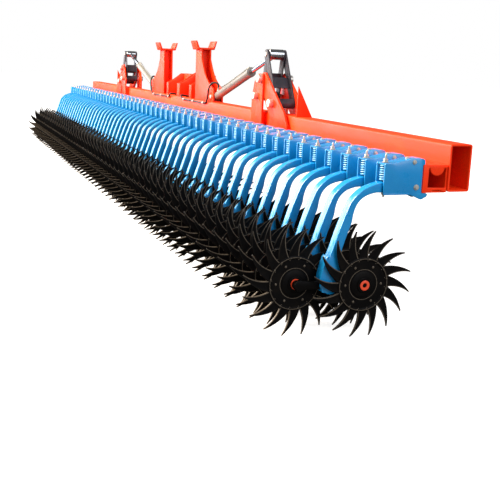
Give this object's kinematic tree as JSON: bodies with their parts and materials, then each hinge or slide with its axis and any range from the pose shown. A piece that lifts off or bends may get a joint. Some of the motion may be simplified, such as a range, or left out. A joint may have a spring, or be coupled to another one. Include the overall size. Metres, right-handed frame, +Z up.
{
  "type": "rotary harrow",
  "caption": "Folding rotary harrow: a wide steel frame with a hitch, folding wings and rows of sprung arms that carry clawed wheels.",
  "frame": {"origin": "on the ground under the middle of the bounding box", "axes": "+X to the right-hand end of the beam, +Y to the tractor, +Z up"},
  "size_m": [9.8346, 1.3678, 1.475],
  "materials": {
    "beam_paint": "satin orange-red paint",
    "headstock_paint": "satin orange-red paint",
    "unit_paint": "satin mid-blue paint",
    "spring_paint": "satin blue paint",
    "zinc": "zinc plated",
    "wheel_iron": "black satin coating",
    "link_paint": "dark grey satin",
    "barrel_paint": "light grey satin",
    "rod_chrome": "hard chrome",
    "hose_rubber": "matt"
  },
  "bodies": {
    "centre": {"centre_beam": "beam_paint", "centre_toolbar": "unit_paint", "headstock": "headstock_paint", "top_link_pin": "zinc", "post_right": "headstock_paint", "hitch_pin_right": "zinc", "hose_right": "hose_rubber", "hinge_pin_back_right": "zinc", "hinge_pin_front_right": "zinc", "post_left": "headstock_paint", "hitch_pin_left": "zinc", "hose_left": "hose_rubber", "hinge_pin_back_left": "zinc", "hinge_pin_front_left": "zinc"},
    "wing_right": {"wing_beam_right": "beam_paint", "wing_toolbar_right": "unit_paint", "housing_1": "unit_paint", "spring_rod_1": "zinc", "spring_1": "spring_paint", "housing_2": "unit_paint", "spring_rod_2": "zinc", "spring_2": "spring_paint"},
    "rocker_right": {"rocker_right": "link_paint"},
    "link_right": {"fold_link_right": "link_paint"},
    "barrel_right": {"cylinder_barrel_right": "barrel_paint"},
    "rod_right": {"cylinder_rod_right": "rod_chrome"},
    "wing_left": {"wing_beam_left": "beam_paint", "wing_toolbar_left": "unit_paint"},
    "rocker_left": {"rocker_left": "link_paint"},
    "link_left": {"fold_link_left": "link_paint"},
    "barrel_left": {"cylinder_barrel_left": "barrel_paint"},
    "rod_left": {"cylinder_rod_left": "rod_chrome"},
    "lead_row_centre": {"lead_wheels_centre": "wheel_iron"},
    "trail_row_centre": {"trail_wheels_centre": "wheel_iron"},
    "lead_row_right": {"lead_wheels_right": "wheel_iron"},
    "trail_row_right": {"trail_wheels_right": "wheel_iron"},
    "lead_row_left": {"lead_wheels_left": "wheel_iron"},
    "trail_row_left": {"trail_wheels_left": "wheel_iron"},
    "arm_1": {"arm_1": "unit_paint"},
    "beam_1": {"walking_beam_1": "wheel_iron"},
    "lead_1": {"lead_wheel_1": "wheel_iron"},
    "trail_1": {"trail_wheel_1": "wheel_iron"},
    "arm_2": {"arm_2": "unit_paint"},
    "beam_2": {"walking_beam_2": "wheel_iron"},
    "lead_2": {"lead_wheel_2": "wheel_iron"},
    "trail_2": {"trail_wheel_2": "wheel_iron"}
  },
  "joints": [
    {"name": "fold_right", "type": "hinge", "parent": "centre", "child": "wing_right", "pos_m": [2.47, 0.383, 1.175], "axis": [0, -1, 0], "range_deg": [0, 180]},
    {"name": "rocker_swing_right", "type": "hinge", "parent": "centre", "child": "rocker_right", "pos_m": [2.395, 0.383, 1.047], "axis": [0, -1, 0], "range_deg": [0, 113.35]},
    {"name": "link_swing_right", "type": "hinge", "parent": "wing_right", "child": "link_right", "pos_m": [2.665, 0.383, 1.005], "axis": [0, -1, 0], "range_deg": [-57.83, 0]},
    {"name": "barrel_tilt_right", "type": "hinge", "parent": "centre", "child": "barrel_right", "pos_m": [1.1, 0.383, 0.98], "axis": [0, -1, 0], "range_deg": [-14.39, 0]},
    {"name": "rod_slide_right", "type": "slide", "parent": "barrel_right", "child": "rod_right", "axis": [0.9649, 0, 0.2627], "range_m": [-0.43553, 0]},
    {"name": "fold_left", "type": "hinge", "parent": "centre", "child": "wing_left", "pos_m": [-2.47, 0.383, 1.175], "axis": [0, 1, 0], "range_deg": [0, 180]},
    {"name": "rocker_swing_left", "type": "hinge", "parent": "centre", "child": "rocker_left", "pos_m": [-2.395, 0.383, 1.047], "axis": [0, 1, 0], "range_deg": [0, 113.35]},
    {"name": "link_swing_left", "type": "hinge", "parent": "wing_left", "child": "link_left", "pos_m": [-2.665, 0.383, 1.005], "axis": [0, 1, 0], "range_deg": [-57.83, 0]},
    {"name": "barrel_tilt_left", "type": "hinge", "parent": "centre", "child": "barrel_left", "pos_m": [-1.1, 0.383, 0.98], "axis": [0, 1, 0], "range_deg": [-14.39, 0]},
    {"name": "rod_slide_left", "type": "slide", "parent": "barrel_left", "child": "rod_left", "axis": [-0.9649, 0, 0.2627], "range_m": [-0.43553, 0]},
    {"name": "lead_row_spin_centre", "type": "hinge", "parent": "centre", "child": "lead_row_centre", "pos_m": [0, -0.104, 0.25991], "axis": [1, 0, 0], "continuous": true},
    {"name": "trail_row_spin_centre", "type": "hinge", "parent": "centre", "child": "trail_row_centre", "pos_m": [0, -0.424, 0.25991], "axis": [1, 0, 0], "continuous": true},
    {"name": "lead_row_spin_right", "type": "hinge", "parent": "wing_right", "child": "lead_row_right", "pos_m": [3.5, -0.104, 0.25991], "axis": [1, 0, 0], "continuous": true},
    {"name": "trail_row_spin_right", "type": "hinge", "parent": "wing_right", "child": "trail_row_right", "pos_m": [3.5, -0.424, 0.25991], "axis": [1, 0, 0], "continuous": true},
    {"name": "lead_row_spin_left", "type": "hinge", "parent": "wing_left", "child": "lead_row_left", "pos_m": [-3.5, -0.104, 0.25991], "axis": [1, 0, 0], "continuous": true},
    {"name": "trail_row_spin_left", "type": "hinge", "parent": "wing_left", "child": "trail_row_left", "pos_m": [-3.5, -0.424, 0.25991], "axis": [1, 0, 0], "continuous": true},
    {"name": "arm_lift_1", "type": "hinge", "parent": "wing_right", "child": "arm_1", "pos_m": [4.845, 0.152, 0.726], "axis": [-1, 0, 0], "range_deg": [0, 12], "stiffness_Nm_per_rad": 900, "springref_deg": -6.88, "deforming": ["spring_1"]},
    {"name": "beam_rock_1", "type": "hinge", "parent": "arm_1", "child": "beam_1", "pos_m": [4.845, -0.264, 0.25991], "axis": [1, 0, 0], "range_deg": [-10, 10]},
    {"name": "lead_spin_1", "type": "hinge", "parent": "beam_1", "child": "lead_1", "pos_m": [4.892, -0.104, 0.25991], "axis": [1, 0, 0], "continuous": true},
    {"name": "trail_spin_1", "type": "hinge", "parent": "beam_1", "child": "trail_1", "pos_m": [4.798, -0.424, 0.25991], "axis": [1, 0, 0], "continuous": true},
    {"name": "arm_lift_2", "type": "hinge", "parent": "wing_right", "child": "arm_2", "pos_m": [4.655, 0.152, 0.726], "axis": [-1, 0, 0], "range_deg": [0, 12], "stiffness_Nm_per_rad": 900, "springref_deg": -6.88, "deforming": ["spring_2"]},
    {"name": "beam_rock_2", "type": "hinge", "parent": "arm_2", "child": "beam_2", "pos_m": [4.655, -0.264, 0.25991], "axis": [1, 0, 0], "range_deg": [-10, 10]},
    {"name": "lead_spin_2", "type": "hinge", "parent": "beam_2", "child": "lead_2", "pos_m": [4.702, -0.104, 0.25991], "axis": [1, 0, 0], "continuous": true},
    {"name": "trail_spin_2", "type": "hinge", "parent": "beam_2", "child": "trail_2", "pos_m": [4.608, -0.424, 0.25991], "axis": [1, 0, 0], "continuous": true}
  ],
  "couplings": [
    {"joint": "rocker_swing_right", "follows": "fold_right", "ratio": 0.62969},
    {"joint": "link_swing_right", "follows": "fold_right", "ratio": -0.32121},
    {"joint": "barrel_tilt_right", "follows": "fold_right", "ratio": -0.079889},
    {"joint": "rod_slide_right", "follows": "fold_right", "m_per_rad": -0.1386},
    {"joint": "rocker_swing_left", "follows": "fold_left", "ratio": 0.62969},
    {"joint": "link_swing_left", "follows": "fold_left", "ratio": -0.32121},
    {"joint": "barrel_tilt_left", "follows": "fold_left", "ratio": -0.079889},
    {"joint": "rod_slide_left", "follows": "fold_left", "m_per_rad": -0.1386}
  ]
}
